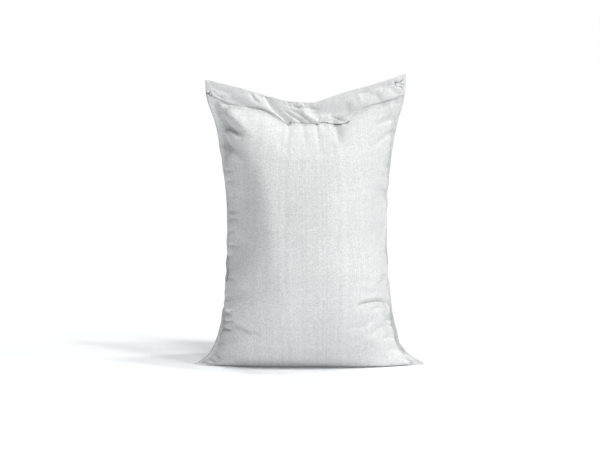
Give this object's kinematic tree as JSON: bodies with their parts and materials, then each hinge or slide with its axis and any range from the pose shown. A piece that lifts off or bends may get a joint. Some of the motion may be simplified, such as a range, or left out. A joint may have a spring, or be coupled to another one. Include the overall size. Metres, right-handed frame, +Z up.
{
  "type": "cement bag",
  "caption": "Filled woven cement sack standing upright: flat creases down both sides, pinched bottom corners on the floor, and a folded band closing the mouth.",
  "frame": {"origin": "on the floor, below the centre of the bounding box", "axes": "+X to the right along the sack's width seen from its front, +Y to its back, +Z up"},
  "size_m": [0.507, 0.2975, 0.624],
  "materials": {
    "sack_cloth": "white woven polypropylene tape, slight sheen",
    "band_cloth": "white woven polypropylene tape, pressed flat"
  },
  "bodies": {
    "root": {"filled_sack": "sack_cloth", "closing_band": "band_cloth"}
  },
  "joints": []
}
